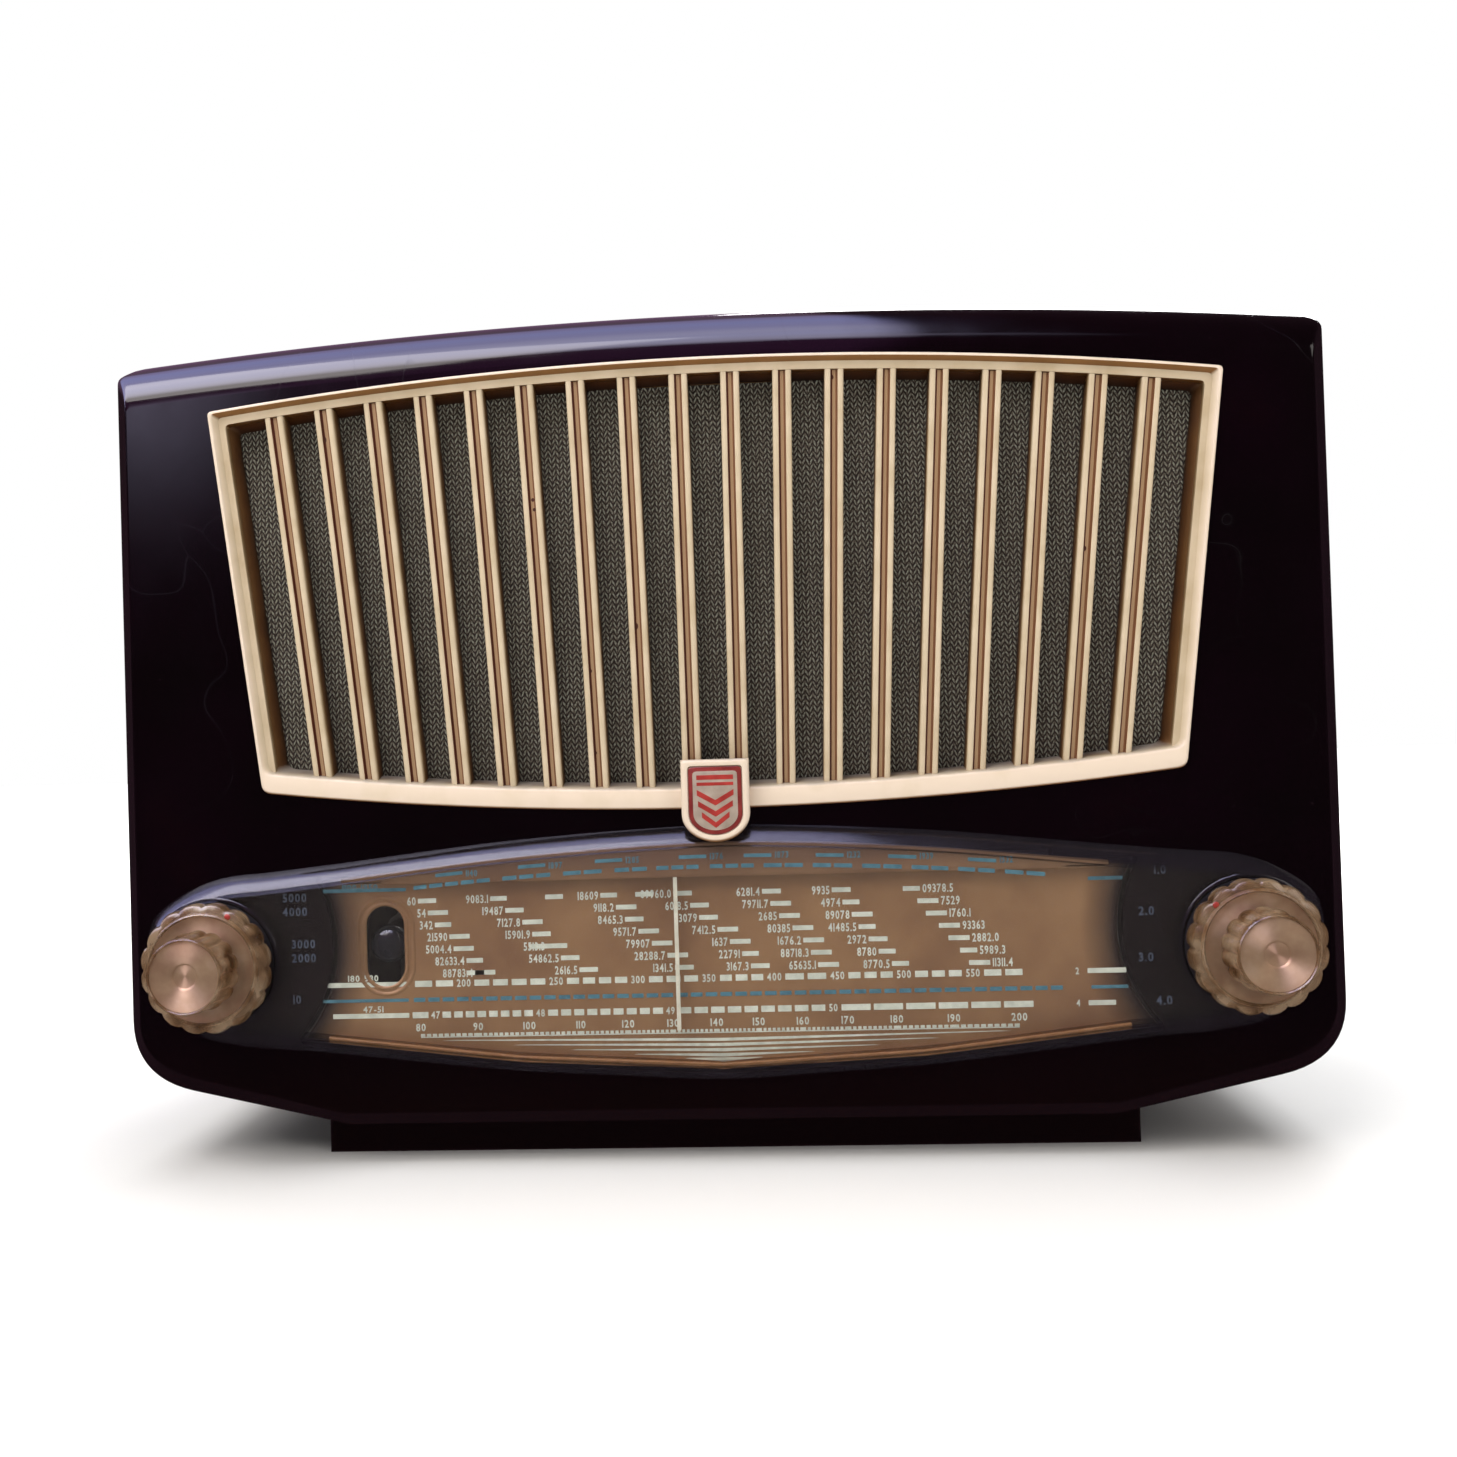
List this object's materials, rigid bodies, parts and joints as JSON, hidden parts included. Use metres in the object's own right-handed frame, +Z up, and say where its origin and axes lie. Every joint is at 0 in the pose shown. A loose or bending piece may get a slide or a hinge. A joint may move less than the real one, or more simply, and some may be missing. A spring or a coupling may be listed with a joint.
{
  "type": "tabletop radio",
  "caption": "Mains valve radio in a crowned bakelite case with a fan-barred ivory grille, a clear-covered dial and two concentric knob pairs.",
  "frame": {"origin": "on the table, on the underside of the plinth at the middle of its width", "axes": "+X to the right seen from the front, -Y towards the listener, +Z up"},
  "size_m": [0.38, 0.2116, 0.268],
  "materials": {
    "bakelite": "polished phenolic moulding, near black brown",
    "ivory": "aged ivory urea moulding with dirt in its grooves",
    "badge": null,
    "clear": "clear moulded acrylic, slightly yellowed",
    "knob_plastic": "clear fluted plastic over spun copper-gold discs",
    "dial_print": null,
    "pointer_paint": "cream enamel",
    "steel": "plated sheet steel",
    "lamp_glass": "blown glass with dark innards",
    "aluminium": "drawn aluminium",
    "phenolic": "paper phenolic board",
    "cord": "waxed twine",
    "brass": "turned brass",
    "grille_cloth": "dark olive twill with pale threads",
    "baffle_board": "plywood",
    "transformer_iron": "lacquered steel stampings",
    "cone_paper": "black pressed paper",
    "fibreboard": "pressed fibreboard",
    "rubber": "soft black rubber",
    "black_phenolic": "black moulded phenolic"
  },
  "bodies": {
    "cabinet": {"cabinet": "bakelite", "grille": "ivory", "badge_plate": "badge", "dial_cover": "clear", "dial_plate": "dial_print", "dial_bracket": "steel", "pointer_rail": "steel", "dial_lamp_left": "lamp_glass", "dial_lamp_right": "lamp_glass", "drive_cord": "cord", "tuning_capacitor": "aluminium", "bush_left": "brass", "bush_right": "brass", "tone_switch": "phenolic", "band_switch": "phenolic", "volume_control": "aluminium", "grille_cloth": "grille_cloth", "baffle_board": "baffle_board", "speaker_basket": "transformer_iron", "speaker_magnet": "transformer_iron", "chassis": "steel", "mixer_valve": "lamp_glass", "if_valve": "lamp_glass", "audio_valve": "lamp_glass", "output_valve": "lamp_glass", "rectifier_valve": "lamp_glass", "if_can_first": "aluminium", "if_can_second": "aluminium", "smoothing_capacitor": "aluminium", "mains_transformer": "transformer_iron", "output_transformer": "transformer_iron", "chassis_bolt_1": "steel", "chassis_bolt_2": "steel", "chassis_bolt_3": "steel", "chassis_bolt_4": "steel", "tuning_eye": "lamp_glass", "eye_clamp": "steel", "back_cover": "fibreboard", "terminal_strip": "phenolic", "voltage_selector": "black_phenolic", "inlet_grommet": "rubber", "back_screw_1": "steel", "back_screw_2": "steel", "back_screw_3": "steel", "back_screw_4": "steel"},
    "tuning_drive": {"drive_drum": "aluminium", "capacitor_rotor": "aluminium", "cord_spring": "steel"},
    "pointer": {"pointer": "pointer_paint"},
    "pulley_left": {"cord_pulley_left": "phenolic"},
    "pulley_right": {"cord_pulley_right": "phenolic"},
    "tuning": {"tuning_knob": "knob_plastic", "tuning_shaft": "brass"},
    "band": {"band_knob": "knob_plastic", "band_shaft": "brass"},
    "volume": {"volume_knob": "knob_plastic", "volume_shaft": "brass"},
    "tone": {"tone_knob": "knob_plastic", "tone_shaft": "brass"},
    "cone": {"speaker_cone": "cone_paper"}
  },
  "joints": [
    {"name": "drum_turn", "type": "hinge", "parent": "cabinet", "child": "tuning_drive", "pos_m": [0.055, -0.0715, 0.082], "axis": [0, 1, 0], "range_deg": [-78.1, 101.9]},
    {"name": "pointer_slide", "type": "slide", "parent": "cabinet", "child": "pointer", "axis": [1, 0, 0], "range_m": [-0.083, 0.108]},
    {"name": "pulley_left_turn", "type": "hinge", "parent": "cabinet", "child": "pulley_left", "pos_m": [-0.118, -0.079, 0.092], "axis": [0, 1, 0], "range_deg": [-913.6, 1188.9]},
    {"name": "pulley_right_turn", "type": "hinge", "parent": "cabinet", "child": "pulley_right", "pos_m": [0.118, -0.079, 0.092], "axis": [0, 1, 0], "range_deg": [-913.6, 1188.9]},
    {"name": "tuning_turn", "type": "hinge", "parent": "cabinet", "child": "tuning", "pos_m": [0.1585, -0.1, 0.065], "axis": [0, 1, 0], "range_deg": [-1214.8, 1581.9]},
    {"name": "band_select", "type": "hinge", "parent": "cabinet", "child": "band", "pos_m": [0.1585, -0.1, 0.065], "axis": [0, 1, 0], "range_deg": [-76, 0]},
    {"name": "volume_turn", "type": "hinge", "parent": "cabinet", "child": "volume", "pos_m": [-0.1585, -0.1, 0.065], "axis": [0, 1, 0], "range_deg": [0, 290]},
    {"name": "tone_select", "type": "hinge", "parent": "cabinet", "child": "tone", "pos_m": [-0.1585, -0.1, 0.065], "axis": [0, 1, 0], "range_deg": [0, 58]},
    {"name": "cone_travel", "type": "slide", "parent": "cabinet", "child": "cone", "axis": [0, -1, 0], "range_m": [-0.001, 0.001], "stiffness_N_per_m": 1500}
  ],
  "couplings": [
    {"joint": "pointer_slide", "follows": "drum_turn", "m_per_rad": 0.060161},
    {"joint": "tuning_turn", "follows": "drum_turn", "ratio": 15.426},
    {"joint": "pulley_left_turn", "follows": "drum_turn", "ratio": 11.569},
    {"joint": "pulley_right_turn", "follows": "drum_turn", "ratio": 11.569}
  ]
}
